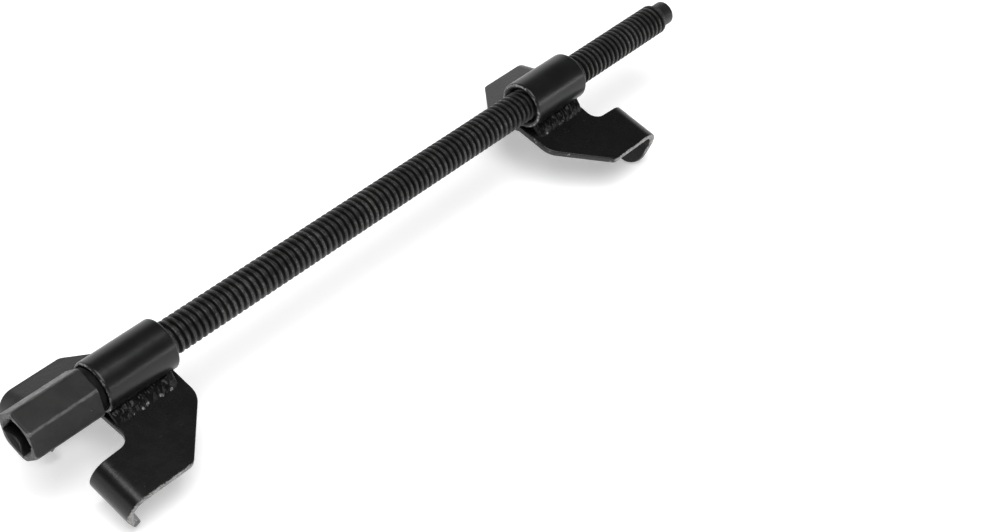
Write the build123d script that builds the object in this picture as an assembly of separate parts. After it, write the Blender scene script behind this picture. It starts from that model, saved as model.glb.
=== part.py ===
from build123d import *
import os
from math import cos, radians, sin, sqrt, tan

os.makedirs("parts", exist_ok=True)

# Coil spring compressor: a long screw with a hexagon drive head, a plain jaw that the head
# pushes on, and a threaded jaw that travels along the screw. Two hooks on each jaw catch
# the coils of a spring. All sizes are in millimetres.
#
# Frame: X runs along the screw from the drive head (-X) to the free tip (+X), Z is up,
# and the tool stands on the tips of its four hooks.

# ---- Screw ----
# The thread is right-handed. It is drawn as a row of rings at its pitch, not as a helix.
overall_length = 381.0
thread_pitch = 3.0
thread_major_d = 14.8
thread_minor_d = 11.7
thread_crest_width = 1.15
thread_root_width = 2.25        # a ridge's width where it meets the core
thread_first_crest = 1.85       # from the start of the thread to the middle of the first full ridge
thread_tip_chamfer = 1.4
dog_point_d = 11.4
dog_point_length = 7.5
dog_point_chamfer = 1.2
neck_length = 11.0
neck_d = 12.8
neck_shoulder_d = 14.6
neck_shoulder_length = 4.0

# ---- Hexagon drive head ----
head_length = 31.0
head_across_flats = 20.0
head_corner_angle = 19.0        # one corner's angle from +Y, with the screw at rest
head_face_d = 21.4              # diameter of the flat left by the end chamfers
head_outer_chamfer = 0.9
head_inner_chamfer = 0.6
socket_side = 12.9              # takes a half-inch square drive
socket_corner_angle = 79.0      # one corner's angle from +Y, in line with a corner of the hexagon
socket_depth = 17.0
socket_corner_r = 0.6
socket_lead_in = 0.8

# ---- Thrust washer between the head and the plain jaw ----
washer_d = 18.6
washer_bore_d = 15.2
washer_thickness = 2.5
washer_gap = 0.2

# ---- Jaw collar ----
collar_d = 22.0
collar_inboard = 20.8           # from the jaw's datum toward the other jaw
collar_outboard = 12.2          # from the jaw's datum away from it
collar_edge_chamfer = 0.9
collar_bore_d = 15.4            # clears the screw; the travelling collar's own thread isn't drawn
mouth_d = 18.4                  # countersink at both ends of the bore
mouth_depth = 1.8

# ---- Jaw plate: one bent steel sheet, datum at the hooks' inboard corners ----
sheet = 3.0
wing_slope = 13.0               # degrees that each wing falls from the ridge
wing_width = 41.05              # from the ridge to the wing's outer edge, along the slope
web_inboard = 21.5
web_outboard = 12.4
shoulder_width = 18.8           # where the slanted inboard edge starts
shoulder_r = 10.0
wing_corner_r = 3.5
fork_width = 19.3               # from the ridge to the inner side of a hook
fork_depth_at_hook = 11.4
fork_r = 5.0
ridge_r = 5.0

# ---- Hook at the outboard end of each wing ----
hook_bend_start = 23.0
hook_inner_r = 5.0
hook_bend_angle = 118.0
lip_length = 12.5
lip_outer_corner_r = 7.5
lip_inner_corner_r = 5.0

# ---- Weld beads along both sides of each collar ----
weld_inboard = 18.6
weld_outboard = 10.4
weld_toe = 12.6                 # from the ridge to the bead's toe on the wing
weld_collar_angle = 44.0        # how far round from the collar's side the bead climbs down
weld_root = 3.0

# ---- Places along the screw ----
head_end_x = -overall_length / 2
head_face_x = head_end_x + head_length
thread_start_x = head_face_x + neck_length
tip_x = overall_length / 2
thread_end_x = tip_x - dog_point_length
washer_x = head_face_x + washer_gap
drive_collar_end_x = washer_x + washer_thickness + washer_gap
drive_jaw_x = drive_collar_end_x + collar_outboard
threaded_jaw_x = 105.4

ROUND_BAR = (Align.CENTER, Align.CENTER, Align.MIN)


def bar(diameter, start, end):
    """A round bar along X from start to end."""
    return Pos(start, 0, 0) * Rot(0, 90, 0) * Cylinder(diameter / 2, end - start, align=ROUND_BAR)


def turned(*profile):
    """A solid of revolution about X from (x, radius) points."""
    outline = make_face(Polyline(*[(x, 0, r) for x, r in profile], close=True))
    return revolve(outline, Axis.X, 360)


def thread_profile():
    """The thread in section as (x, radius) points: one ridge for each pitch, on a smaller core."""
    major_r = thread_major_d / 2
    minor_r = thread_minor_d / 2
    half_root = thread_root_width / 2
    half_crest = thread_crest_width / 2
    points = [(thread_start_x, minor_r)]
    crest_x = thread_start_x + thread_first_crest
    while crest_x + half_root < thread_end_x - thread_tip_chamfer:
        points.append((crest_x - half_root, minor_r))
        points.append((crest_x - half_crest, major_r))
        points.append((crest_x + half_crest, major_r))
        points.append((crest_x + half_root, minor_r))
        crest_x += thread_pitch
    points.append((thread_end_x, minor_r))
    return points


def make_threaded_rod():
    """The screw: neck, thread and the plain dog point at its free tip."""
    shoulder_x = head_face_x + neck_shoulder_length
    dog_r = dog_point_d / 2
    return turned(
        (head_face_x, 0), (head_face_x, neck_shoulder_d / 2), (shoulder_x, neck_shoulder_d / 2),
        (shoulder_x + neck_shoulder_length / 2, neck_d / 2), (thread_start_x, neck_d / 2),
        *thread_profile(), (thread_end_x, dog_r),
        (tip_x - dog_point_chamfer, dog_r), (tip_x, dog_r - dog_point_chamfer), (tip_x, 0),
    )


def make_hex_head():
    """The drive head: a long hexagon with a square socket in its end face."""
    corner_r = head_across_flats / sqrt(3)
    face_r = head_face_d / 2
    profile = Plane.YZ * Rot(0, 0, head_corner_angle) * RegularPolygon(corner_r, 6)
    hexagon = Pos(head_end_x, 0, 0) * extrude(profile, head_length)
    chamfers = turned(
        (head_end_x, 0), (head_end_x, face_r), (head_end_x + head_outer_chamfer, corner_r + 0.1),
        (head_face_x - head_inner_chamfer, corner_r + 0.1), (head_face_x, face_r), (head_face_x, 0),
    )
    square = RectangleRounded(socket_side, socket_side, socket_corner_r)
    square_turn = Rot(0, 0, socket_corner_angle - 45)
    socket = Pos(head_end_x, 0, 0) * extrude(Plane.YZ * square_turn * square, socket_depth)
    lead_in_r = socket_side / sqrt(2)
    lead_in = turned(
        (head_end_x, 0), (head_end_x, lead_in_r), (head_end_x + socket_lead_in, lead_in_r - socket_lead_in),
        (head_end_x + socket_lead_in, 0),
    )
    return (hexagon & chamfers) - socket - lead_in


def make_washer():
    """The hardened washer that the head turns against."""
    end = washer_x + washer_thickness
    return bar(washer_d, washer_x, end) - bar(washer_bore_d, washer_x, end)


def make_collar():
    """The jaw's tube, bored through, in the jaw's own frame with the other jaw toward -X."""
    tube = bar(collar_d, -collar_inboard, collar_outboard)
    rims = tube.edges().filter_by(GeomType.CIRCLE)
    tube = chamfer(rims, collar_edge_chamfer)
    bore_r = collar_bore_d / 2
    mouth_r = mouth_d / 2
    bore = turned(
        (-collar_inboard, 0), (-collar_inboard, mouth_r), (-collar_inboard + mouth_depth, bore_r),
        (collar_outboard - mouth_depth, bore_r), (collar_outboard, mouth_r), (collar_outboard, 0),
    )
    return tube - bore


def make_wing():
    """One wing and its hook, flat on the XY plane with the sheet below it."""
    blank = make_face(Polyline(
        (-web_inboard, 0), (-web_inboard, shoulder_width), (0, wing_width),
        (hook_bend_start, wing_width), (hook_bend_start, fork_width),
        (fork_depth_at_hook, fork_width - 0.6), (web_outboard, 0), close=True,
    ))
    blank = fillet(blank.vertices().sort_by_distance((-web_inboard, shoulder_width))[0], shoulder_r)
    blank = fillet(blank.vertices().sort_by_distance((0, wing_width))[0], wing_corner_r)
    blank = fillet(blank.vertices().sort_by_distance((fork_depth_at_hook, fork_width))[0], fork_r)
    panel = extrude(blank, -sheet)

    bend_axis = Axis((hook_bend_start, 0, -hook_inner_r - sheet), (0, 1, 0))
    end_section = make_face(Polyline(
        (hook_bend_start, fork_width, 0), (hook_bend_start, wing_width, 0),
        (hook_bend_start, wing_width, -sheet), (hook_bend_start, fork_width, -sheet), close=True,
    ))
    bend = revolve(end_section, bend_axis, hook_bend_angle)
    lip_end = hook_bend_start + lip_length
    lip_outline = make_face(Polyline(
        (hook_bend_start, fork_width), (hook_bend_start, wing_width),
        (lip_end, wing_width), (lip_end, fork_width), close=True,
    ))
    lip_outline = fillet(lip_outline.vertices().sort_by_distance((lip_end, wing_width))[0], lip_outer_corner_r)
    lip_outline = fillet(lip_outline.vertices().sort_by_distance((lip_end, fork_width))[0], lip_inner_corner_r)
    lip = extrude(lip_outline, -sheet).rotate(bend_axis, hook_bend_angle)
    return panel + bend + lip


def make_plate():
    """The whole jaw plate: two wings falling away from a ridge under the collar."""
    wing = make_wing().rotate(Axis.X, -wing_slope)
    plate = wing + mirror(wing, Plane.XZ)
    ridge = plate.edges().filter_by(Axis.X).filter_by_position(Axis.Y, -0.01, 0.01).sort_by(Axis.Z)[-1]
    plate = fillet(ridge, ridge_r)
    ridge_drop = ridge_r * (1 / cos(radians(wing_slope)) - 1)
    return Pos(0, 0, ridge_drop - collar_d / 2) * plate


def make_weld(side):
    """One weld bead in the corner between the collar and a wing."""
    ridge_drop = ridge_r * (1 / cos(radians(wing_slope)) - 1)
    ridge_z = ridge_drop - collar_d / 2
    slope = tan(radians(wing_slope))
    angle = radians(weld_collar_angle)
    collar_r = collar_d / 2
    outline = Polyline(
        (0, side * collar_r * cos(angle), -collar_r * sin(angle)),
        (0, side * weld_toe, ridge_z - slope * weld_toe),
        (0, side * weld_root, ridge_z - slope * weld_root),
        (0, side * weld_root, -sqrt(collar_r ** 2 - weld_root ** 2)),
        close=True,
    )
    length = weld_inboard + weld_outboard
    bead = Pos(-weld_inboard, 0, 0) * extrude(make_face(outline), length, dir=(1, 0, 0))
    return bead - bar(collar_d, -weld_inboard, weld_outboard)


plate = make_plate()
axis_height = -plate.bounding_box().min.Z
lift = Pos(0, 0, axis_height)
threaded_place = lift * Pos(threaded_jaw_x, 0, 0)
drive_place = lift * Pos(drive_jaw_x, 0, 0) * Rot(0, 0, 180)

nodes = {
    "threaded_rod": lift * make_threaded_rod(),
    "hex_drive_head": lift * make_hex_head(),
    "thrust_washer": lift * make_washer(),
}
for jaw, place in (("threaded_jaw", threaded_place), ("drive_jaw", drive_place)):
    nodes[jaw + "_collar"] = place * make_collar()
    nodes[jaw + "_plate"] = place * plate
    for side_name, side in (("left", 1), ("right", -1)):
        nodes[jaw + "_weld_" + side_name] = place * make_weld(side)

for name, solid in nodes.items():
    export_step(solid, "parts/" + name + ".step")

print("axis height", round(axis_height, 3))
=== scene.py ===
import math
import random

import bmesh
import bpy
import numpy as np
from mathutils import Matrix, Vector, noise
from mathutils.geometry import delaunay_2d_cdt


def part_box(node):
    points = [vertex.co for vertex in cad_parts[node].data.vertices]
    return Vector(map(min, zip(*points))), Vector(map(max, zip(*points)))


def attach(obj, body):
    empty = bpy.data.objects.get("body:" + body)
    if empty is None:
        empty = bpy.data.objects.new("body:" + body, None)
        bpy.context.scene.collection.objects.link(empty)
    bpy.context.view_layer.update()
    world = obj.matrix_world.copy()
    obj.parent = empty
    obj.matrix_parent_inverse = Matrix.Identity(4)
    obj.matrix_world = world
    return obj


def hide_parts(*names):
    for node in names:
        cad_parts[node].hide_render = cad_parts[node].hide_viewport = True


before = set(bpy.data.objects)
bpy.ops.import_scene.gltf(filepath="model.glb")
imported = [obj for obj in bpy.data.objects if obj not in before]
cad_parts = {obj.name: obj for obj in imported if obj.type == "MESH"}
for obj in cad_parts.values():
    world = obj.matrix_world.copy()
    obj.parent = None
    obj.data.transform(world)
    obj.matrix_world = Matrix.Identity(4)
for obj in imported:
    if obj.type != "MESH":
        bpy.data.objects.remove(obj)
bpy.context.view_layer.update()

MM = 0.001

# ---------------------------------------------------------------- places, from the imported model
rod_low, rod_high = (np.array(corner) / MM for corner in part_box("threaded_rod"))
_, threaded_high = (np.array(corner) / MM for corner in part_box("threaded_jaw_collar"))
drive_low, _ = (np.array(corner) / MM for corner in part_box("drive_jaw_collar"))
head_low, head_high = (np.array(corner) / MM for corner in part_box("hex_drive_head"))
washer_low, washer_high = (np.array(corner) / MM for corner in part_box("thrust_washer"))
AXIS_Z = (rod_low[2] + rod_high[2]) / 2

# ---------------------------------------------------------------- sizes, in millimetres, as in the CAD
# collar, from the jaw's datum at its hooks' inboard corners
COLLAR_R = 11.0
COLLAR_IN = 20.8                # toward the other jaw
COLLAR_OUT = 12.2               # away from it
BORE_R = 7.7
MOUTH_R = 9.2                   # countersink at both ends of the bore
MOUTH_DEPTH = 1.8
# jaw plate, one bent steel sheet
SHEET = 3.0
SLOPE = math.radians(13.0)      # each wing falls this much from the ridge
RIDGE_R = 5.0
WING = 41.05                    # from the ridge to the wing's outer edge, along the slope
WEB_IN = 21.5
WEB_OUT = 12.4
SHOULDER = 18.8                 # where the slanted inboard edge starts
FORK_W = 19.3                   # from the ridge to the inner side of a hook
FORK_U = 11.4
BEND_START = 23.0
BEND_R = 8.0                    # to the sheet's top face
BEND_ANGLE = math.radians(118.0)
BEND_LENGTH = BEND_R * BEND_ANGLE
LIP = 12.5
# screw
PITCH = 3.0
CREST_R = 7.4
ROOT_R = 5.85
NECK_R = 6.4
NECK_SHOULDER_R = 7.3
DOG_R = 5.7
THREAD_START = -148.5
THREAD_END = 183.0
THREAD_PHASE = 1.85             # from the start of the thread to the middle of the first full ridge
# drive head; a turn is one corner's angle from +Y
HEX_APOTHEM = 10.0
HEX_TURN = math.radians(19.0)
SOCKET_HALF = 6.45
SOCKET_TURN = math.radians(79.0)
SOCKET_DEPTH = 17.0


# ---------------------------------------------------------------- mesh helpers
def make_piece(name, points, faces, material, body, wear=None):
    """A smooth-shaded mesh piece from points in millimetres, riding on a CAD body."""
    mesh = bpy.data.meshes.new(name)
    mesh.from_pydata([tuple(p) for p in np.asarray(points) * MM], [], [tuple(f) for f in faces])
    if wear is not None:
        layer = mesh.attributes.new("wear", "FLOAT", "POINT")
        layer.data.foreach_set("value", np.asarray(wear, dtype=np.float32))
    mesh.validate()
    mesh.polygons.foreach_set("use_smooth", [True] * len(mesh.polygons))
    piece = bpy.data.objects.new(name, mesh)
    bpy.context.scene.collection.objects.link(piece)
    mesh.materials.append(material)
    tidy_mesh(mesh)
    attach(piece, body)
    return piece


def tidy_mesh(mesh):
    """Merges doubled points and turns every face outwards."""
    merge_distance = 2e-7
    shortest_edge = 1e-7
    bm = bmesh.new()
    bm.from_mesh(mesh)
    bmesh.ops.remove_doubles(bm, verts=bm.verts, dist=merge_distance)
    bmesh.ops.dissolve_degenerate(bm, edges=bm.edges, dist=shortest_edge)
    bmesh.ops.recalc_face_normals(bm, faces=bm.faces)
    bm.to_mesh(mesh)
    bm.free()


def ring_faces(rings, count, offset=0):
    """Quads between stacked closed rings of the same point count."""
    faces = []
    for row in range(rings - 1):
        a = offset + row * count
        b = a + count
        for i in range(count):
            j = (i + 1) % count
            faces.append((a + i, a + j, b + j, b + i))
    return faces


def full_turn(count):
    """Evenly spaced angles round a circle."""
    return np.arange(count) * 2 * math.pi / count


def ring_points(x, radius, angles, axis_z=AXIS_Z):
    """One ring about the screw's axis; x and radius are numbers, or have a value for each angle."""
    x = np.broadcast_to(x, angles.shape)
    return np.stack([x, radius * np.cos(angles), axis_z + radius * np.sin(angles)], -1)


def lathe(profile, count):
    """Points and quads of a surface turned about the screw's axis, closed if the profile is."""
    angles = full_turn(count)
    points = np.concatenate([ring_points(x, r, angles) for x, r in profile])
    return points, ring_faces(len(profile), count)


def arc(cx, cy, r, start, end, steps):
    """Points of an arc, angles in degrees."""
    angles = [math.radians(a) for a in np.linspace(start, end, steps + 1)]
    return [(cx + r * math.cos(a), cy + r * math.sin(a)) for a in angles]


def rounded(corners, spacing):
    """A closed outline from (x, y, radius) corners, sampled about every spacing."""
    nearly_straight = math.radians(89.5)
    arc_spacing = spacing * 0.6
    n = len(corners)
    out, ends = [], []
    for i, (x, y, r) in enumerate(corners):
        p = np.array([x, y])
        a = np.array(corners[i - 1][:2]) - p
        b = np.array(corners[(i + 1) % n][:2]) - p
        a /= np.linalg.norm(a)
        b /= np.linalg.norm(b)
        half = math.acos(max(-1.0, min(1.0, float(a @ b)))) / 2
        if r <= 0 or half > nearly_straight:
            ends.append(([p], p, p))
            continue
        back = r / math.tan(half)
        centre = p + (a + b) / np.linalg.norm(a + b) * r / math.sin(half)
        t0 = p + a * back
        t1 = p + b * back
        a0 = math.atan2(*(t0 - centre)[::-1])
        a1 = math.atan2(*(t1 - centre)[::-1])
        turn = (a1 - a0 + math.pi) % (2 * math.pi) - math.pi
        steps = max(4, int(abs(turn) * r / arc_spacing))
        sweep = [a0 + turn * k / steps for k in range(steps + 1)]
        pts = [centre + r * np.array([math.cos(angle), math.sin(angle)]) for angle in sweep]
        ends.append((pts, t0, t1))
    for i, (pts, t0, t1) in enumerate(ends):
        out.extend(pts)
        nxt = ends[(i + 1) % n][1]
        length = np.linalg.norm(nxt - t1)
        steps = max(1, int(round(length / spacing)))
        out.extend(t1 + (nxt - t1) * k / steps for k in range(1, steps))
    return np.array(out)


def inset(outline, distance):
    """The outline moved inwards, for an outline that runs counter-clockwise."""
    before = np.roll(outline, 1, 0)
    after = np.roll(outline, -1, 0)
    tangent = after - before
    tangent /= np.linalg.norm(tangent, axis=1)[:, None]
    normal = np.stack([-tangent[:, 1], tangent[:, 0]], -1)
    return outline + normal * distance


def gap_to(points, outline):
    """Each point's distance to a closed outline."""
    a = outline
    b = np.roll(outline, -1, 0)
    ab = b - a
    best = np.full(len(points), 1e9)
    for k in range(len(a)):
        t = np.clip(((points - a[k]) @ ab[k]) / (ab[k] @ ab[k]), 0, 1)
        d = points - (a[k] + t[:, None] * ab[k])
        best = np.minimum(best, np.hypot(d[:, 0], d[:, 1]))
    return best


def inside(points, outline):
    """Which points lie in a closed outline."""
    a = outline
    b = np.roll(outline, -1, 0)
    hit = np.zeros(len(points), bool)
    for (ax, ay), (bx, by) in zip(a, b):
        crosses = (ay > points[:, 1]) != (by > points[:, 1])
        with np.errstate(divide="ignore", invalid="ignore"):
            x = ax + (points[:, 1] - ay) * (bx - ax) / (by - ay)
        hit ^= crosses & (points[:, 0] < x)
    return hit


def wobble(points, scale, seed):
    """Smooth noise in -1 to 1 at points in millimetres."""
    shift = Vector((seed * 17.3, seed * 5.1, seed * 9.7))
    return np.array([noise.noise(Vector(p) / scale + shift) for p in points])


# ---------------------------------------------------------------- materials
def new_material(name):
    """A material with an empty principled shader, its node tree and the shader."""
    material = bpy.data.materials.new(name)
    material.use_nodes = True
    tree = material.node_tree
    tree.nodes.clear()
    shader = tree.nodes.new("ShaderNodeBsdfPrincipled")
    output = tree.nodes.new("ShaderNodeOutputMaterial")
    tree.links.new(shader.outputs["BSDF"], output.inputs["Surface"])
    return material, tree, shader


class Graph:
    """Short ways to add and link shader nodes."""

    def __init__(self, tree):
        self.tree = tree
        self.place = tree.nodes.new("ShaderNodeTexCoord").outputs["Object"]

    def link(self, value, socket):
        """Joins a node's output to the socket, or sets the socket to a constant."""
        if isinstance(value, (int, float, tuple)):
            socket.default_value = value
        else:
            self.tree.links.new(value, socket)

    def math(self, kind, a, b=0.0, c=0.0, clamp=False):
        node = self.tree.nodes.new("ShaderNodeMath")
        node.operation = kind
        node.use_clamp = clamp
        for value, socket in zip((a, b, c), node.inputs):
            self.link(value, socket)
        return node.outputs[0]

    def add(self, a, b):
        return self.math("ADD", a, b)

    def times(self, a, b):
        return self.math("MULTIPLY", a, b)

    def stretch(self, factors, turn=(0.0, 0.0, 0.0)):
        node = self.tree.nodes.new("ShaderNodeMapping")
        node.inputs["Scale"].default_value = factors
        node.inputs["Rotation"].default_value = turn
        self.tree.links.new(self.place, node.inputs["Vector"])
        return node.outputs[0]

    def noise(self, size_mm, detail=3.0, rough=0.55, vector=None):
        node = self.tree.nodes.new("ShaderNodeTexNoise")
        node.inputs["Scale"].default_value = 1000.0 / size_mm
        node.inputs["Detail"].default_value = detail
        node.inputs["Roughness"].default_value = rough
        self.tree.links.new(vector or self.place, node.inputs["Vector"])
        return node.outputs["Fac"]

    def specks(self, size_mm, radius, share):
        """Small round specks: radius is a share of the cell, share is how many cells have one."""
        node = self.tree.nodes.new("ShaderNodeTexVoronoi")
        node.inputs["Scale"].default_value = 1000.0 / size_mm
        self.tree.links.new(self.place, node.inputs["Vector"])
        split = self.tree.nodes.new("ShaderNodeSeparateColor")
        self.tree.links.new(node.outputs["Color"], split.inputs[0])
        chosen = self.math("LESS_THAN", split.outputs[0], share)
        size = self.times(split.outputs[1], radius)
        near = self.math("LESS_THAN", node.outputs["Distance"], size)
        return self.times(chosen, near)

    def ramp(self, value, low, high, a=0.0, b=1.0):
        node = self.tree.nodes.new("ShaderNodeMapRange")
        node.interpolation_type = "SMOOTHSTEP"
        self.link(value, node.inputs["Value"])
        node.inputs["From Min"].default_value = low
        node.inputs["From Max"].default_value = high
        node.inputs["To Min"].default_value = a
        node.inputs["To Max"].default_value = b
        return node.outputs["Result"]

    def mix(self, factor, a, b):
        node = self.tree.nodes.new("ShaderNodeMix")
        node.data_type = "RGBA"
        self.link(factor, node.inputs["Factor"])
        for value, socket in ((a, node.inputs[6]), (b, node.inputs[7])):
            self.link((*value, 1.0) if isinstance(value, tuple) else value, socket)
        return node.outputs[2]

    def attribute(self, name):
        node = self.tree.nodes.new("ShaderNodeAttribute")
        node.attribute_name = name
        return node.outputs["Fac"]

    def bump(self, height, distance_mm, strength):
        node = self.tree.nodes.new("ShaderNodeBump")
        node.inputs["Strength"].default_value = strength
        node.inputs["Distance"].default_value = distance_mm * MM
        self.tree.links.new(height, node.inputs["Height"])
        return node.outputs[0]

    def radius(self):
        """Distance from the screw's axis, in millimetres."""
        split = self.tree.nodes.new("ShaderNodeSeparateXYZ")
        self.tree.links.new(self.place, split.inputs[0])
        y = self.times(split.outputs[1], 1000.0)
        z = self.math("MULTIPLY_ADD", split.outputs[2], 1000.0, -AXIS_Z)
        return self.math("SQRT", self.add(self.times(y, y), self.times(z, z)))


# Linear colours. A pair holds the dark and the light end of a mix.
ENAMEL = ((0.0040, 0.0040, 0.0044), (0.0058, 0.0057, 0.0060))
SCUFFED = (0.045, 0.045, 0.047)
DUST = (0.14, 0.14, 0.136)
BARE_STEEL = ((0.060, 0.058, 0.056), (0.34, 0.335, 0.33))
OXIDE = ((0.0050, 0.0049, 0.0049), (0.0090, 0.0087, 0.0084))
THREAD_ROOT = (0.0015, 0.0015, 0.0015)
RUBBED_CREST = (0.13, 0.127, 0.122)
RUBBED_EDGE = (0.14, 0.14, 0.14)
# painted shade for the inside of the socket
SOCKET_PAINTED_SHADE = (0.0004, 0.0004, 0.0004)
OXIDE_SPECK = (0.17, 0.165, 0.16)


def black_paint(name, roughness=0.27, specks_share=0.10, weld=False, ior=1.42):
    """Glossy black enamel over steel: dust specks, scuffs, and chips along worn edges."""
    material, tree, shader = new_material(name)
    g = Graph(tree)
    cloud = g.noise(14.0, 3.0)
    grain = g.noise(0.55, 2.0)
    colour = g.mix(g.ramp(cloud, 0.35, 0.7), *ENAMEL)
    # scuffs, long and faint
    streak = g.noise(1.0, 4.0, 0.65, g.stretch((0.12, 1.0, 1.0), (0.0, 0.0, 0.7)))
    patch = g.ramp(g.noise(9.0, 2.0), 0.52, 0.72)
    scuff = g.times(g.ramp(streak, 0.63, 0.76), patch)
    colour = g.mix(g.times(scuff, 0.35), colour, SCUFFED)
    # dust and small nicks in the film
    coarse = g.specks(3.6, 0.085, specks_share)
    fine = g.specks(1.7, 0.11, specks_share * 0.35)
    speck = g.math("MAXIMUM", coarse, fine)
    colour = g.mix(g.times(speck, 0.8), colour, DUST)
    # chips where the edges are worn
    wear = g.attribute("wear")
    torn = g.add(g.noise(1.5, 5.0, 0.7), g.times(g.noise(6.5, 2.0), 0.7))
    chip = g.ramp(g.add(g.times(wear, 0.62), torn), 1.26, 1.36)
    steel = g.mix(g.ramp(g.noise(0.8, 4.0, 0.7), 0.35, 0.65), *BARE_STEEL)
    colour = g.mix(chip, colour, steel)
    g.link(colour, shader.inputs["Base Color"])
    # gloss that varies, duller on scuffs and chips
    rough = g.ramp(g.noise(5.0, 4.0, 0.6), 0.3, 0.75, roughness - 0.015, roughness + 0.025)
    rough = g.add(rough, g.times(scuff, 0.22))
    rough = g.math("ADD", rough, g.times(chip, 0.16), clamp=True)
    g.link(rough, shader.inputs["Roughness"])
    g.link(g.times(chip, 0.65), shader.inputs["Metallic"])
    shader.inputs["IOR"].default_value = ior
    # orange peel, grit and the step down into a chip
    peel_size, peel_height = (1.1, 3.0) if weld else (2.2, 1.0)
    peel = g.noise(peel_size, 3.0, 0.5)
    height = g.add(g.times(peel, peel_height), g.times(grain, 0.16))
    height = g.add(height, g.times(speck, 0.5))
    height = g.math("SUBTRACT", height, g.times(chip, 0.9))
    g.link(g.bump(height, 0.055, 0.8), shader.inputs["Normal"])
    return material


def oxide_steel(name, roughness, thread=False, ior=1.40):
    """Blackened steel: a brownish phosphate film, rubbed lighter on crests and edges, with painted
    shade inside a socket.
    """
    material, tree, shader = new_material(name)
    g = Graph(tree)
    cloud = g.noise(11.0, 4.0, 0.6)
    colour = g.mix(g.ramp(cloud, 0.3, 0.7), *OXIDE)
    grit = g.noise(0.7, 4.0, 0.7)
    if thread:
        radius = g.radius()
        crest = g.ramp(radius, 7.15, 7.38)
        root = g.ramp(radius, 5.95, 6.7, 1.0, 0.0)
        colour = g.mix(g.times(root, 0.85), colour, THREAD_ROOT)
        patches = g.add(grit, g.times(cloud, 0.5))
        worn = g.times(crest, g.ramp(patches, 0.72, 0.98))
        colour = g.mix(g.times(worn, 0.75), colour, RUBBED_CREST)
    else:
        wear = g.attribute("wear")
        scratched = g.noise(1.2, 5.0, 0.7, g.stretch((0.35, 1.0, 1.0)))
        worn = g.ramp(g.add(g.times(wear, 0.6), g.times(scratched, 0.5)), 0.55, 0.90)
        colour = g.mix(g.times(worn, 0.8), colour, RUBBED_EDGE)
        # a wear below zero marks the inside of the socket, which gets near-black painted shade
        colour = g.mix(g.ramp(wear, -0.6, -0.1, 1.0, 0.0), colour, SOCKET_PAINTED_SHADE)
    speck = g.specks(3.0, 0.08, 0.09)
    colour = g.mix(g.times(speck, 0.6), colour, OXIDE_SPECK)
    g.link(colour, shader.inputs["Base Color"])
    rough = g.ramp(g.noise(2.5, 4.0, 0.65), 0.3, 0.7, roughness - 0.07, roughness + 0.09)
    g.link(rough, shader.inputs["Roughness"])
    g.link(g.times(worn, 0.5), shader.inputs["Metallic"])
    shader.inputs["IOR"].default_value = ior
    height = g.add(g.times(grit, 0.6), g.noise(3.0, 3.0))
    if not thread:
        lathe_marks = g.noise(0.45, 1.0, 0.4, g.stretch((0.06, 1.0, 1.0)))
        height = g.add(height, g.times(lathe_marks, 0.5))
    g.link(g.bump(height, 0.05, 0.7), shader.inputs["Normal"])
    return material


PAINT = black_paint("black_enamel", specks_share=0.13)
COLLAR_PAINT = black_paint("black_enamel_tube", 0.30, 0.05)
# weakly reflecting enamel: painted shade on the weld beads, also used for the spatter
WELD_PAINT_WITH_PAINTED_SHADE = black_paint("black_enamel_weld_painted_shade", 0.20, 0.03, weld=True, ior=1.24)
# dull, weakly reflecting enamel: painted shade in the gap behind the washer
GAP_PAINTED_SHADE = black_paint("black_enamel_recess_painted_shade", 0.50, 0.02, ior=1.12)
ROD_STEEL = oxide_steel("blackened_screw", 0.40, thread=True)
HEAD_STEEL = oxide_steel("blackened_head", 0.42)
# blackened steel that reflects weakly: painted shade for the washer in the gap between head and collar
WASHER_STEEL_PAINTED_SHADE = oxide_steel("blackened_washer_painted_shade", 0.50, ior=1.15)


# ---------------------------------------------------------------- the screw
# One pitch of the thread in section, as (distance along the screw, radius).
THREAD_ROWS = [
    (-0.42, 7.40), (0.0, 7.40), (0.42, 7.40), (0.53, 7.365), (0.61, 7.27), (0.75, 6.88), (0.92, 6.40),
    (1.06, 6.01), (1.14, 5.89), (1.27, 5.85), (1.50, 5.85), (1.73, 5.85), (1.86, 5.89), (1.94, 6.01),
    (2.08, 6.40), (2.25, 6.88), (2.39, 7.27), (2.47, 7.365),
]


def helical(x_low, x_high, rows, radius_at, count):
    """Points and quads of a surface that follows the thread's helix between two planes."""
    flattened = 1e-5
    per_turn = len(rows)
    first = math.floor((x_low - THREAD_START - THREAD_PHASE) / PITCH) - 2
    last = math.ceil((x_high - THREAD_START - THREAD_PHASE) / PITCH) + 2
    angles = full_turn(count)
    advance = PITCH * (angles - math.pi / 2) / (2 * math.pi)
    grid = []
    for turn in range(first, last + 1):
        for along, r in rows:
            x = THREAD_START + THREAD_PHASE + turn * PITCH + along + advance
            clipped = np.clip(x, x_low, x_high)
            grid.append(ring_points(clipped, radius_at(clipped, r), angles))
    total = len(grid)
    points = np.concatenate(grid)
    faces = []
    for row in range(total - 1):
        low, high = row * count, (row + 1) * count
        for i in range(count - 1):
            faces.append((low + i, low + i + 1, high + i + 1, high + i))
        # at the seam each row meets the one that starts a full turn later
        seam = row + per_turn
        if seam + 1 < total:
            faces.append((low + count - 1, seam * count, (seam + 1) * count, high + count - 1))
    # drop the faces that the two end planes have flattened
    corners = points[np.array(faces)]
    spread = corners[:, :, 0].max(1) - corners[:, :, 0].min(1)
    kept = [face for face, width in zip(faces, spread) if width > flattened]
    return points, kept


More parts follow.
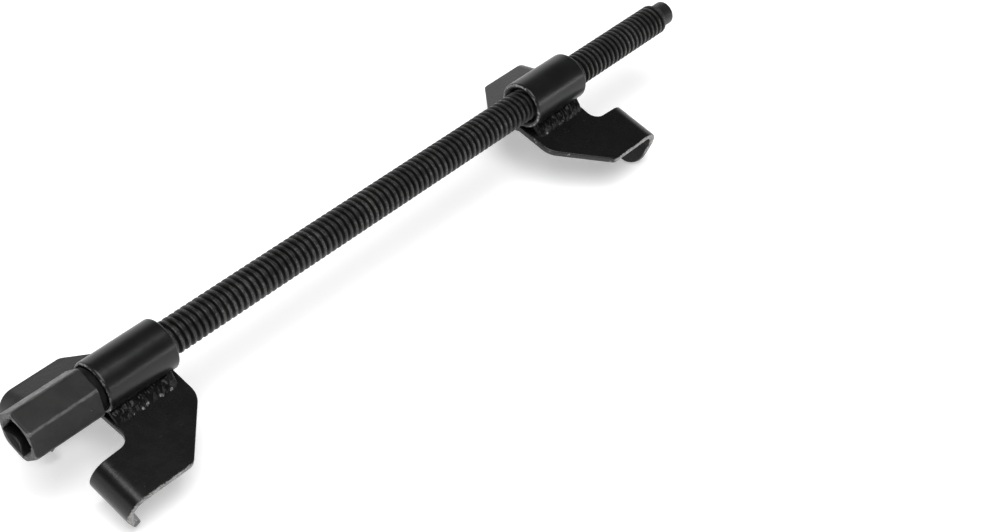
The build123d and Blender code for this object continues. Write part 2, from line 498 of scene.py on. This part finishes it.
def build_rod():
    """The screw: a real helical thread between the plain neck and the dog point."""
    count = 96
    run_in = 0.9
    tip_chamfer = 1.4

    def radius_at(x, r):
        """The thread's own radius, cut down where it starts and ends."""
        limit_in = ROOT_R + (x - THREAD_START) / run_in * (CREST_R - ROOT_R)
        limit_out = ROOT_R + (THREAD_END - x) / tip_chamfer * (CREST_R - ROOT_R)
        return np.maximum(ROOT_R, np.minimum(r, np.minimum(limit_in, limit_out)))

    points, faces = helical(THREAD_START, THREAD_END, THREAD_ROWS, radius_at, count)
    # dents only, so that the surface stays within the CAD's crests
    ripple = wobble(points, 2.2, 3) * 0.022 + wobble(points, 0.8, 5) * 0.012
    away = points[:, 1:] - np.array([0.0, AXIS_Z])
    outward = away / np.linalg.norm(away, axis=1)[:, None]
    points[:, 1:] += outward * np.minimum(ripple, 0.0)[:, None] * 1.6

    head_x = head_high[0]
    tip_x = rod_high[0]
    start = head_x - 1.5
    dished = tip_x - 0.03
    neck = [
        (start, 0.0), (start, NECK_SHOULDER_R), (head_x + 4.0, NECK_SHOULDER_R),
        (head_x + 4.4, 7.2), (head_x + 5.6, 6.5), (head_x + 6.0, NECK_R),
        (THREAD_START - 1.6, NECK_R), (THREAD_START - 0.6, 6.25), (THREAD_START, ROOT_R),
    ]
    dog = [
        (THREAD_END, ROOT_R), (THREAD_END + 0.05, 5.75), (THREAD_END + 0.6, DOG_R),
        (189.1, DOG_R), (189.3, 5.66), (189.5, 5.5), (190.25, 4.72), (190.42, 4.55),
        (tip_x, 4.3), (tip_x, 4.0), (dished, 2.0), (dished, 0.0),
    ]
    for profile in (neck, dog):
        more, more_faces = lathe(profile, count)
        faces += [tuple(i + len(points) for i in f) for f in more_faces]
        points = np.concatenate([points, more])
    piece = make_piece("screw_thread", points, faces, ROD_STEEL, "screw")
    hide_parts("threaded_rod")


# ---------------------------------------------------------------- the drive head
def soft_min(a, b, k):
    """The smaller of two values, blended over a width k where they are close."""
    h = np.clip(0.5 + 0.5 * (b - a) / k, 0, 1)
    return b * (1 - h) + a * h - k * h * (1 - h)


def soft_max(a, b, k):
    """The larger of two values, blended over a width k where they are close."""
    return -soft_min(-a, -b, k)


def polygon_radius(angles, sides, apothem, turn, sharpness):
    """Radius of a regular polygon with softened corners; turn is one corner's angle."""
    total = np.zeros_like(angles)
    for k in range(sides):
        facing = turn + math.pi / sides + k * 2 * math.pi / sides
        total += np.maximum(0.0, np.cos(angles - facing)) ** sharpness
    return apothem / total ** (1.0 / sharpness)


def build_head():
    """The drive head: a long hexagon, chamfered at both ends, with a square socket."""
    count = 432
    angles = full_turn(count)
    hexagon = polygon_radius(angles, 6, HEX_APOTHEM, HEX_TURN, 42.0)
    square = polygon_radius(angles, 4, SOCKET_HALF, SOCKET_TURN, 55.0)
    x0, x1 = head_low[0], head_high[0]
    length = x1 - x0
    mouth_r = 8.1           # the lead-in cone at the end face
    face_r = 9.75           # the flat that the end chamfers leave
    chamfer_r = 10.75       # the chamfer cones at the two ends
    outer_steepness, inner_steepness = 1.0, 1.4
    edge_r = 0.5
    worn_length = 1.2
    socket_painted_shade = -1.0      # below zero: painted shade on the inside of the socket
    rings, worn = [], []

    def ring(x, radius, wear):
        rings.append(ring_points(x, np.broadcast_to(radius, (count,)), angles))
        worn.append(np.broadcast_to(wear, (count,)))

    # socket, from its floor out to the end face
    floor_x = x0 + SOCKET_DEPTH
    for share in (0.0, 0.5, 0.9, 0.98):
        ring(floor_x, square * share, socket_painted_shade)
    ring(floor_x - 0.2, square, socket_painted_shade)
    for depth in (12.0, 8.0, 4.0, 2.4, 1.6, 1.1, 0.8, 0.6, 0.45, 0.3, 0.18, 0.08):
        # past the mouth the walls get painted shade, a little lighter near the mouth; the mouth's edge
        # gets wear
        wear = 0.3 if depth < 0.7 else -0.4 if depth < 2.0 else socket_painted_shade
        ring(x0 + depth, soft_max(square, mouth_r - depth, 0.25), wear)
    mouth = soft_max(square, mouth_r, 0.25)
    ring(x0, mouth + 0.06, 0.5)
    ring(x0, mouth + 0.22, 0.35)
    ring(x0, (mouth + face_r) / 2, 0.2)
    ring(x0, face_r - 0.55, 0.1)

    # outside, from the end face back to the washer
    corner = np.clip((hexagon - chamfer_r) / 0.6, 0, 1)
    depths = [0.0, 0.015, 0.06, 0.14, 0.26, 0.4, 0.6, 0.85, 1.1, 1.3, 1.5, 1.75, 2.1, 2.6, 3.5]
    depths += list(np.arange(5.0, length - 3.9, 1.25))
    far_depths = (3.4, 2.4, 1.9, 1.6, 1.3, 1.05, 0.85, 0.6, 0.4, 0.22, 0.1, 0.03, 0.0)
    depths += [length - d for d in far_depths]
    for depth in depths:
        from_back = length - depth
        outer_cone = chamfer_r + depth * outer_steepness
        inner_cone = chamfer_r + from_back * inner_steepness
        radius = soft_min(soft_min(hexagon, outer_cone, 0.5), inner_cone, 0.3)
        edge = min(depth, from_back)
        radius = radius - edge_r * (1 - math.sqrt(1 - (1 - min(edge / edge_r, 1.0)) ** 2))
        end = max(0.0, 1 - depth / worn_length) * 0.35
        end += max(0.0, 1 - from_back / worn_length) * 0.3
        ring(x0 + depth, radius, np.clip(corner * 0.9 + end, 0, 1))
    ring(x1, 8.0, 0.0)
    ring(x1, 0.0, 0.0)

    points = np.concatenate(rings)
    ripple = wobble(points, 7.0, 8) * 0.04
    points[:, 1:] += ripple[:, None] * (points[:, 1:] - np.array([0.0, AXIS_Z])) / HEX_APOTHEM
    faces = ring_faces(len(rings), count)
    wear = np.concatenate(worn)
    piece = make_piece("drive_head_hexagon", points, faces, HEAD_STEEL, "screw", wear)
    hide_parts("hex_drive_head")


def build_washer():
    """The hardened washer between the head and the plain jaw."""
    x0, x1 = washer_low[0], washer_high[0]
    outer, inner, r = 9.3, 7.6, 0.35
    profile = arc(x0 + r, outer - r, r, 180, 90, 4) + arc(x1 - r, outer - r, r, 90, 0, 4)
    profile += arc(x1 - r, inner + r, r, 0, -90, 4) + arc(x0 + r, inner + r, r, 270, 180, 4)
    profile.append(profile[0])
    points, faces = lathe(profile, 128)
    radius = np.hypot(points[:, 1], points[:, 2] - AXIS_Z)
    wear = (radius > outer - 0.3) * 0.1
    piece = make_piece("hardened_washer", points, faces, WASHER_STEEL_PAINTED_SHADE,
                       "thrust_washer", wear)
    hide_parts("thrust_washer")


# ---------------------------------------------------------------- jaws
def place_jaw(points, jaw):
    """From the jaw's own frame (u outboard, y, z from the screw's axis) to the model's."""
    points = np.array(points, float)
    if jaw == "threaded_jaw":
        x = threaded_high[0] - COLLAR_OUT + points[:, 0]
        return np.stack([x, points[:, 1], AXIS_Z + points[:, 2]], -1)
    x = drive_low[0] + COLLAR_OUT - points[:, 0]
    return np.stack([x, -points[:, 1], AXIS_Z + points[:, 2]], -1)


def bent(flat):
    """Bends the flat sheet (s outboard, w across, n below its top face) into the jaw's plate."""
    flat = np.asarray(flat, float)
    s, w, n = flat[:, 0], flat[:, 1], flat[:, 2]
    turn = np.clip((s - BEND_START) / BEND_R, 0, BEND_ANGLE)
    past = np.maximum(0.0, s - BEND_START - BEND_LENGTH)
    u = np.where(s < BEND_START, s, BEND_START + (BEND_R - n) * np.sin(turn) + past * np.cos(turn))
    d = np.where(s < BEND_START, n, BEND_R - (BEND_R - n) * np.cos(turn) + past * np.sin(turn))
    side = np.sign(w)
    across = np.abs(w)
    lean = np.minimum(across / RIDGE_R, SLOPE)
    flat_part = np.maximum(0.0, across - RIDGE_R * SLOPE)
    y = side * ((RIDGE_R - d) * np.sin(lean) + flat_part * np.cos(lean))
    z = -COLLAR_R - RIDGE_R + (RIDGE_R - d) * np.cos(lean) - flat_part * np.sin(lean)
    return np.stack([u, y, z], -1)


def plate_outline():
    """The flat sheet's outline, from (s, w, corner radius) corners."""
    far = BEND_START + BEND_LENGTH + LIP
    half = [
        (WEB_OUT, 0.0, 0.0), (FORK_U, FORK_W - 0.6, 5.0), (BEND_START, FORK_W, 0.0), (far, FORK_W, 5.0),
        (far, WING, 7.5), (0.0, WING, 3.5), (-WEB_IN, SHOULDER, 10.0), (-WEB_IN, 0.0, 0.0),
    ]
    other = [(s, -w, r) for s, w, r in half[1:-1]][::-1]
    return rounded(half + other, 0.9)


def edge_profile():
    """The sheet's rounded edge, as (inset from the outline, depth below the top face)."""
    edge_r = 0.5
    draft = 0.07            # the sheared edge leans in a little toward the underside
    flat_inset = 0.95       # where the edge's strips meet the flat faces
    quarter = np.linspace(0, math.pi / 2, 6)
    profile = [(flat_inset, 0.0), (edge_r + 0.08, 0.0)]
    profile += [(edge_r * (1 - math.sin(a)), edge_r * (1 - math.cos(a))) for a in quarter]
    profile += [(0.0, 1.2), (0.03, 1.9), (draft, SHEET - edge_r)]
    for a in np.linspace(math.pi / 2, 0, 6)[1:]:
        profile.append((draft + edge_r * (1 - math.sin(a)), SHEET - edge_r * (1 - math.cos(a))))
    profile.append((flat_inset, SHEET))
    return profile


def face_grid(border):
    """Points (s, w) inside the border, closer together on the bend and at the ridge."""
    step = 1.25
    bend_end = BEND_START + BEND_LENGTH
    along = np.concatenate([
        np.arange(-WEB_IN, BEND_START, step),
        np.arange(BEND_START, bend_end, 0.7),
        np.arange(bend_end, 60.0, step),
    ])
    ridge = RIDGE_R * SLOPE
    across = np.concatenate([np.linspace(0, ridge, 4), np.arange(ridge + 0.9, WING, step)])
    across = np.concatenate([-across[:0:-1], across])
    grid = np.array([(s, w) for s in along for w in across])
    grid = grid[inside(grid, border)]
    return grid[gap_to(grid, border) > 0.55]


def build_plate(jaw, seed):
    """The jaw's plate: drawn flat, with a rounded edge all round, then bent."""
    outline = plate_outline()
    after = np.roll(outline, -1, 0)
    area = np.sum(outline[:, 0] * after[:, 1] - after[:, 0] * outline[:, 1])
    if area < 0:
        outline = outline[::-1]
    count = len(outline)
    profile = edge_profile()
    flat = [np.column_stack([inset(outline, gap), np.full(count, depth)]) for gap, depth in profile]
    faces = ring_faces(len(profile), count)

    border = inset(outline, profile[0][0])
    loop = list(range(count))
    verts, _, tris, ids, _, _ = delaunay_2d_cdt(
        [Vector(p) for p in np.concatenate([border, face_grid(border)])], [], [loop], 1, 1e-6)
    made = np.array([tuple(v) for v in verts])
    source = [i[0] if i else None for i in ids]

    # the same triangles close the top face and the underside
    points = list(np.concatenate(flat))
    for depth, first in ((0.0, 0), (SHEET, (len(profile) - 1) * count)):
        lookup = []
        for (s, w), origin in zip(made, source):
            if origin is not None and origin < count:
                lookup.append(first + origin)
            else:
                lookup.append(len(points))
                points.append(np.array([s, w, depth]))
        for tri in tris:
            order = tri if depth == 0.0 else tri[::-1]
            faces.append(tuple(lookup[i] for i in order))
    flat_points = np.array(points)

    # worn along the edge, most of all on the hooks' outer sides
    gap = gap_to(flat_points[:, :2], outline)
    rim = np.clip(1 - gap / 0.9, 0, 1)
    s, w = flat_points[:, 0], np.abs(flat_points[:, 1])
    outer_side = np.clip((w - 36.0) / 4.0, 0, 1)
    near_hook = np.clip((s + 6.0) / 14.0, 0, 1)
    lip_end = np.clip((s - 41.0) / 3.0, 0, 1)
    wear = rim * (0.42 + 0.58 * outer_side * near_hook) * (1 - 0.6 * lip_end)
    on_bend = np.clip(1 - np.abs(s - 33.0) / 7.0, 0, 1) * np.clip((w - 34.0) / 6.0, 0, 1)
    wear = np.clip(wear + 0.16 * on_bend, 0, 1)

    # a pressed sheet isn't quite flat; its edges and its lips keep their place
    shape = place_jaw(bent(flat_points), jaw)
    sway = wobble(shape, 22.0, seed) * 0.07 + wobble(shape, 6.0, seed + 1) * 0.006
    before_lip = s < BEND_START + 6.0
    shape[:, 2] += np.minimum(sway, 0.12) * np.clip(gap / 2.0, 0, 1) * before_lip
    piece = make_piece(jaw + "_hook_plate", shape, faces, PAINT, jaw, wear)
    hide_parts(jaw + "_plate")


def build_collar(jaw, seed, threaded):
    """The jaw's tube, with rounded rims and a countersunk bore."""
    count = 144
    rim_r = 1.0
    rim_start = rim_r + 0.25
    outer = arc(-COLLAR_IN + rim_r, COLLAR_R - rim_r, rim_r, 180, 90, 6)
    outer += [(x, COLLAR_R) for x in np.linspace(-COLLAR_IN + rim_start, COLLAR_OUT - rim_start, 26)]
    outer += arc(COLLAR_OUT - rim_r, COLLAR_R - rim_r, rim_r, 90, 0, 6)
    lip = [(0.0, MOUTH_R + 0.25), (0.08, MOUTH_R + 0.06), (0.25, MOUTH_R - 0.1)]
    cone = [(MOUTH_DEPTH, BORE_R), (MOUTH_DEPTH + 0.3, BORE_R)]
    out_end = [(COLLAR_OUT - depth, r) for depth, r in lip + cone]
    in_end = [(-COLLAR_IN + depth, r) for depth, r in lip + cone]
    profile = outer + out_end + in_end[::-1]
    profile.append(profile[0])

    def ripple(x, angles):
        ring = [(x, 10 * math.cos(a), 10 * math.sin(a)) for a in angles]
        return wobble(ring, 9.0, seed) * 0.05

    local = []
    angles = full_turn(count)
    for x, radius in profile:
        radii = np.full(count, radius)
        if radius > MOUTH_R + 0.3:
            radii = radii + np.minimum(ripple(x, angles), 0.02)
        local.append(ring_points(x, radii, angles, 0.0))
    local = np.concatenate(local)
    faces = ring_faces(len(profile), count)
    radial = np.hypot(local[:, 1], local[:, 2])
    end_gap = np.minimum(local[:, 0] + COLLAR_IN, COLLAR_OUT - local[:, 0])
    wear = np.clip(1 - end_gap / 0.9, 0, 1) * (radial > COLLAR_R - 1.1) * 0.85
    shape = place_jaw(local, jaw)
    piece = make_piece(jaw + "_tube", shape, faces, COLLAR_PAINT, jaw, wear)
    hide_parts(jaw + "_collar")
    if threaded:
        return
    # the plain collar's end inside the gap behind the washer gets dull, weakly reflecting enamel:
    # painted shade
    piece.data.materials.append(GAP_PAINTED_SHADE)
    end = drive_low[0] * MM
    for face in piece.data.polygons:
        y, z = face.center.y / MM, face.center.z / MM - AXIS_Z
        if face.center.x < end + 0.6 * MM and math.hypot(y, z) < COLLAR_R - 0.75:
            face.material_index = 1


def wander(*place):
    """Smooth noise in -1 to 1 at one place."""
    return noise.noise(Vector(place))


def build_weld(jaw, side, seed):
    """A hand-laid bead: overlapping scallops, rough toes with painted highlights, and rounded ends."""
    rng = random.Random(seed)
    start, end = -18.9, 11.0
    rows, around = 150, 22
    scallop_reach = 1.75
    slope = math.tan(SLOPE)
    centres, x = [], start
    while x < end:
        centres.append((x, rng.uniform(0.55, 1.0), rng.uniform(-0.35, 0.35)))
        x += rng.uniform(1.7, 3.0)
    points, worn = [], []
    for i in range(rows + 1):
        u = start + (end - start) * i / rows
        taper = math.sqrt(max(0.0, 1 - (abs(2 * i / rows - 1)) ** 14))
        # the highest scallop here sets the bead's height and how far its toe runs out
        lump = 0.0
        drift = 0.0
        for cx, size, shift in centres:
            reach = (u - cx) / scallop_reach
            if -1 < reach < 1:
                dome = math.sqrt(1 - reach * reach) * size
                if dome > lump:
                    lump, drift = dome, shift
        toe_y = 11.2 + drift + 0.5 * wander(u * 0.6, seed, 1.0)
        toe_y = 8.0 + (toe_y - 8.0) * (0.55 + 0.45 * taper)
        climb = math.radians(50.0 + 9.0 * wander(u * 0.35, seed, 7.0))
        top = np.array([COLLAR_R * math.cos(climb) - 0.12, -COLLAR_R * math.sin(climb) - 0.02])
        toe = np.array([toe_y, -COLLAR_R + 0.13 - slope * toe_y - 0.18])
        bulge = (0.05 + 0.95 * lump) * taper - 0.45 * (1 - taper)
        outward = np.array([top[1] - toe[1], toe[0] - top[0]])
        outward = outward / np.linalg.norm(outward)
        # patches along the toe get light bare-steel chips: painted highlights for the weld's sparkle
        patch = np.clip(0.35 + 1.5 * wander(u * 0.45, seed, 3.0), 0, 1)
        for k in range(around + 1):
            t = k / around
            fine = 0.16 * wander(u * 1.3, t * 5.0, seed * 3.1)
            fine += 0.07 * wander(u * 3.4, t * 13.0, seed * 1.7)
            arch = math.sin(math.pi * t)
            p = top * (1 - t) + toe * t
            p = p + outward * (bulge * arch ** 0.8 + fine * arch)
            points.append((u, side * p[0], p[1]))
            worn.append(np.clip((t - 0.62) / 0.2, 0, 1) * patch)
        # the root, hidden between the collar and the sheet
        root_y = 4.0
        points.append((u, side * root_y, -COLLAR_R + 0.4 - slope * root_y))
        worn.append(0.0)
    per = around + 2
    faces = ring_faces(rows + 1, per)
    faces.append(tuple(range(per))[::-1])
    faces.append(tuple(range(rows * per, (rows + 1) * per)))
    name = jaw + ("_bead_left" if side > 0 else "_bead_right")
    shape = place_jaw(points, jaw)
    piece = make_piece(name, shape, faces, WELD_PAINT_WITH_PAINTED_SHADE, jaw, np.array(worn))
    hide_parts(jaw + ("_weld_left" if side > 0 else "_weld_right"))


def build_spatter(jaw, seed):
    """Small beads of weld metal frozen on the sheet beside the welds."""
    rng = random.Random(seed)
    rings, count = 5, 10
    sunk = 0.05
    points, faces = [], []
    for _ in range(34):
        s = rng.uniform(-18.0, 12.0)
        w = rng.choice((-1, 1)) * (13.2 + abs(rng.gauss(0, 4.5)))
        beside_edge = abs(w) > SHOULDER + (s + WEB_IN) * 0.95
        if s > FORK_U - 1.5 or s < -WEB_IN + 2.0 or beside_edge:
            continue
        size = rng.uniform(0.16, 0.48)
        first = len(points)
        for i in range(rings):
            tilt = math.pi / 2 * i / (rings - 1)
            depth = sunk - size * 0.7 * math.sin(tilt)
            for k in range(count):
                a = 2 * math.pi * k / count
                reach = size * math.cos(tilt) * (1.0 + 0.12 * math.sin(3 * a + seed))
                points.append((s + reach * math.cos(a), w + reach * math.sin(a), depth))
        faces += ring_faces(rings, count, first)
        faces.append(tuple(range(first, first + count)))
    shape = place_jaw(bent(points), jaw)
    wear = np.full(len(points), 0.25)
    make_piece(jaw + "_spatter", shape, faces, WELD_PAINT_WITH_PAINTED_SHADE, jaw, wear)


build_rod()
build_head()
build_washer()
for number, jaw in enumerate(("threaded_jaw", "drive_jaw")):
    build_plate(jaw, 11 + 7 * number)
    build_collar(jaw, 31 + 5 * number, jaw == "threaded_jaw")
    for side in (1, -1):
        build_weld(jaw, side, 101 + 13 * number + side)
    build_spatter(jaw, 201 + number)


# ---------------------------------------------------------------- floor, light and camera
def build_floor():
    """A white studio floor just under the hooks' tips."""
    mesh = bpy.data.meshes.new("studio_floor")
    half = 6.0
    corners = [(-half, -half, 0), (half, -half, 0), (half, half, 0), (-half, half, 0)]
    mesh.from_pydata(corners, [], [(0, 1, 2, 3)])
    floor = bpy.data.objects.new("studio_floor", mesh)
    floor.location.z = -0.4 * MM
    bpy.context.scene.collection.objects.link(floor)
    material, tree, shader = new_material("white_sweep")
    g = Graph(tree)
    white = g.mix(g.noise(600.0, 2.0), (0.90, 0.90, 0.90), (0.92, 0.92, 0.92))
    g.link(white, shader.inputs["Base Color"])
    shader.inputs["Roughness"].default_value = 0.9
    shader.inputs["Specular IOR Level"].default_value = 0.1
    shader.inputs["Emission Color"].default_value = (1.0, 1.0, 1.0, 1.0)
    shader.inputs["Emission Strength"].default_value = 0.32
    mesh.materials.append(material)


def area_light(name, place, target, size, power):
    """A white rectangular light, in metres and watts, turned to face the target."""
    data = bpy.data.lights.new(name, "AREA")
    data.shape = "RECTANGLE"
    data.size, data.size_y = size
    data.energy = power
    light = bpy.data.objects.new(name, data)
    light.location = place
    light.rotation_euler = (Vector(target) - Vector(place)).to_track_quat("-Z", "Y").to_euler()
    bpy.context.scene.collection.objects.link(light)


def build_world():
    """A white sweep around the horizon under a dimmer ceiling, dimmer too on the near side."""
    world = bpy.data.worlds.new("studio")
    bpy.context.scene.world = world
    world.use_nodes = True
    tree = world.node_tree
    tree.nodes.clear()
    place = tree.nodes.new("ShaderNodeTexCoord")
    split = tree.nodes.new("ShaderNodeSeparateXYZ")
    tree.links.new(place.outputs["Generated"], split.inputs[0])

    def brightness(value, low, high, at_low, at_high):
        ramp = tree.nodes.new("ShaderNodeMapRange")
        ramp.interpolation_type = "SMOOTHSTEP"
        tree.links.new(value, ramp.inputs["Value"])
        ramp.inputs["From Min"].default_value = low
        ramp.inputs["From Max"].default_value = high
        ramp.inputs["To Min"].default_value = at_low
        ramp.inputs["To Max"].default_value = at_high
        return ramp.outputs["Result"]

    both = tree.nodes.new("ShaderNodeMath")
    both.operation = "MULTIPLY"
    tree.links.new(brightness(split.outputs[2], 0.30, 0.62, 1.12, 0.075), both.inputs[0])
    tree.links.new(brightness(split.outputs[1], -0.75, 0.1, 0.18, 1.0), both.inputs[1])
    background = tree.nodes.new("ShaderNodeBackground")
    background.inputs["Color"].default_value = (1.0, 1.0, 1.0, 1.0)
    tree.links.new(both.outputs[0], background.inputs["Strength"])
    output = tree.nodes.new("ShaderNodeOutputWorld")
    tree.links.new(background.outputs[0], output.inputs["Surface"])


def build_camera():
    """The photo's view: above the near side of the drive head, looking down along the screw."""
    data = bpy.data.cameras.new("camera")
    data.lens = 62.87
    data.sensor_width = 36.0
    data.clip_start = 0.01
    data.clip_end = 50.0
    camera = bpy.data.objects.new("camera", data)
    place = (-0.40305, -0.40105, 0.46678 + AXIS_Z * MM)
    elevation = math.radians(41.73)
    heading = math.radians(40.05)
    roll = math.radians(-2.25)
    level = math.cos(elevation)
    forward = Vector((level * math.cos(heading), level * math.sin(heading), -math.sin(elevation)))
    right = forward.cross(Vector((0, 0, 1))).normalized()
    down = forward.cross(right)
    x_axis = math.cos(roll) * right + math.sin(roll) * down
    y_axis = math.sin(roll) * right - math.cos(roll) * down
    basis = Matrix((x_axis, y_axis, -forward)).transposed().to_4x4()
    camera.matrix_world = Matrix.Translation(place) @ basis
    bpy.context.scene.collection.objects.link(camera)
    bpy.context.scene.camera = camera


build_floor()
build_world()
build_camera()
area_light("top_softbox", (-0.35, -0.45, 1.5), (0, 0, 0), (1.3, 1.3), 30.0)
area_light("side_softbox", (0.65, -1.05, 0.22), (0, 0, 0.03), (0.8, 0.16), 2.4)

scene = bpy.context.scene
scene.view_settings.view_transform = "Standard"
scene.view_settings.look = "None"
